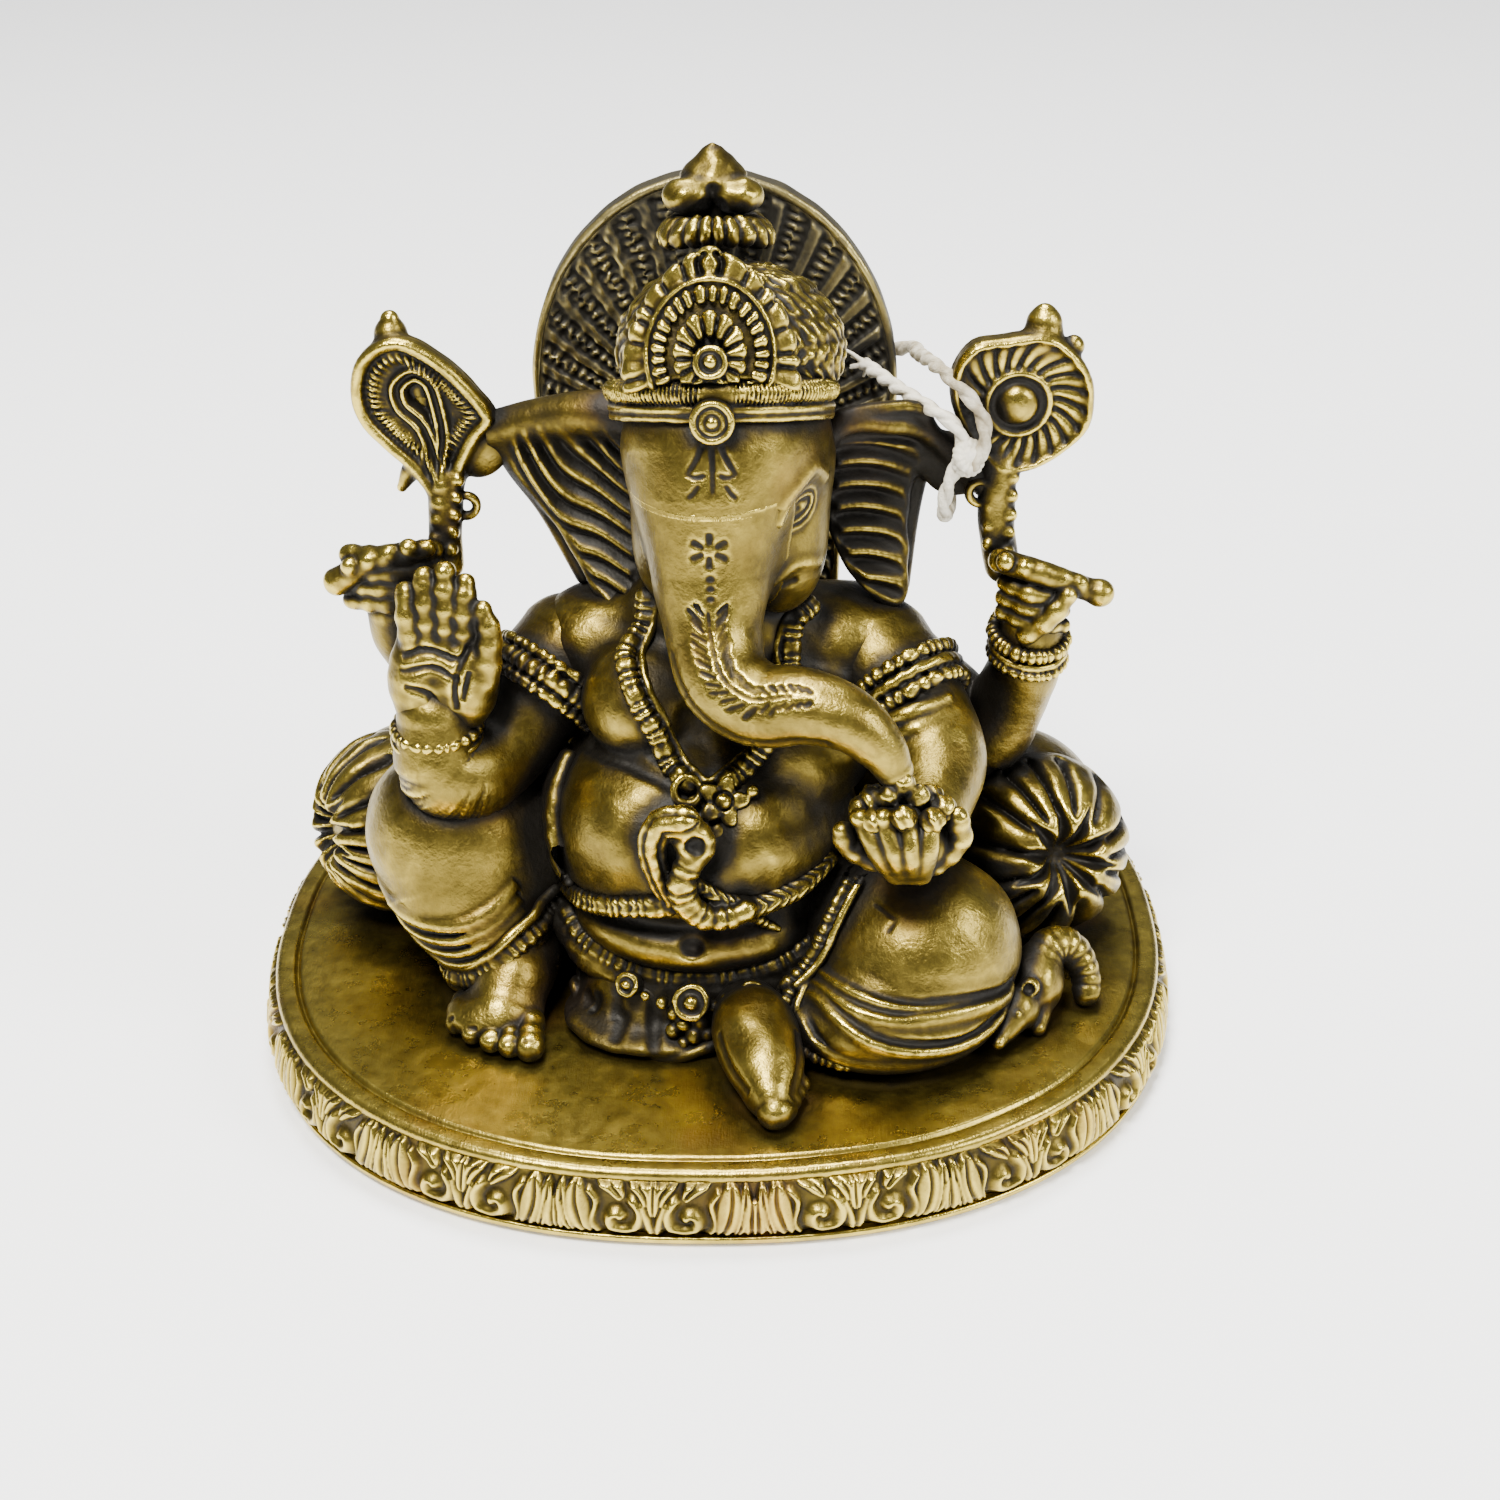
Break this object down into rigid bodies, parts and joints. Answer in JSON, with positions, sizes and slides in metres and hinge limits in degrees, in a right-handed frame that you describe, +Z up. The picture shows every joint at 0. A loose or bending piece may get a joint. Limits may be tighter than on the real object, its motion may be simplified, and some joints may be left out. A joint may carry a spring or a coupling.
{
  "type": "seated elephant-headed deity statue",
  "caption": "Antique brass casting of a four-armed elephant-headed deity seated against a bolster on an oval base with a scroll frieze and an arched back panel.",
  "frame": {"origin": "middle of the underside of the oval base, on the surface that the statue stands on", "axes": "+Z up, -Y towards the front of the statue, +X towards the statue's left hand (the viewer's right)"},
  "size_m": [0.1174, 0.1112, 0.1092],
  "materials": {
    "figure_brass": "antique brass, worn bright on high points, dark brown in recesses",
    "drapery_brass": "antique brass, satin, dark between the folds",
    "ornament_brass": "antique brass, chased, dark in the chasing",
    "cushion_brass": "antique brass, fluted, dark in the flutes",
    "halo_brass": "antique brass, greyer and darker, rough between the ribs",
    "base_brass": "antique brass, brushed deck, bright rim, dark frieze ground",
    "cotton": "twisted cotton string"
  },
  "bodies": {
    "root": {"base_foot": "base_brass", "base_wall": "base_brass", "base_deck": "base_brass", "base_frieze": "base_brass", "bolster": "cushion_brass", "bolster_right_end": "cushion_brass", "bolster_left_end": "cushion_brass", "halo_panel": "halo_brass", "halo_rim": "halo_brass", "crown_dome": "ornament_brass", "crown_band": "ornament_brass", "crown_crest": "ornament_brass", "crown_rosette": "ornament_brass", "crown_medallion": "ornament_brass", "crown_garland": "ornament_brass", "crown_finial": "ornament_brass", "head": "figure_brass", "trunk": "figure_brass", "right_ear": "figure_brass", "left_ear": "figure_brass", "torso": "figure_brass", "shawl": "drapery_brass", "necklace": "ornament_brass", "pendant": "ornament_brass", "snake_belt": "ornament_brass", "girdle": "ornament_brass", "girdle_medallions": "ornament_brass", "apron": "drapery_brass", "right_front_arm": "figure_brass", "right_front_hand": "figure_brass", "right_armlet": "ornament_brass", "right_bracelet": "ornament_brass", "right_rear_arm": "figure_brass", "right_rear_hand": "figure_brass", "leaf_emblem": "ornament_brass", "left_front_arm": "figure_brass", "left_front_hand": "figure_brass", "sweets": "ornament_brass", "left_armlet": "ornament_brass", "left_rear_arm": "figure_brass", "left_rear_hand": "figure_brass", "left_bracelet": "ornament_brass", "disc_emblem": "ornament_brass", "right_leg": "figure_brass", "right_leg_hem": "drapery_brass", "right_foot": "figure_brass", "right_anklet": "ornament_brass", "left_leg": "figure_brass", "left_leg_hem": "drapery_brass", "left_foot": "figure_brass", "mouse": "figure_brass", "tag_string": "cotton", "tag_string_loop": "cotton", "string_knot": "cotton"}
  },
  "joints": []
}
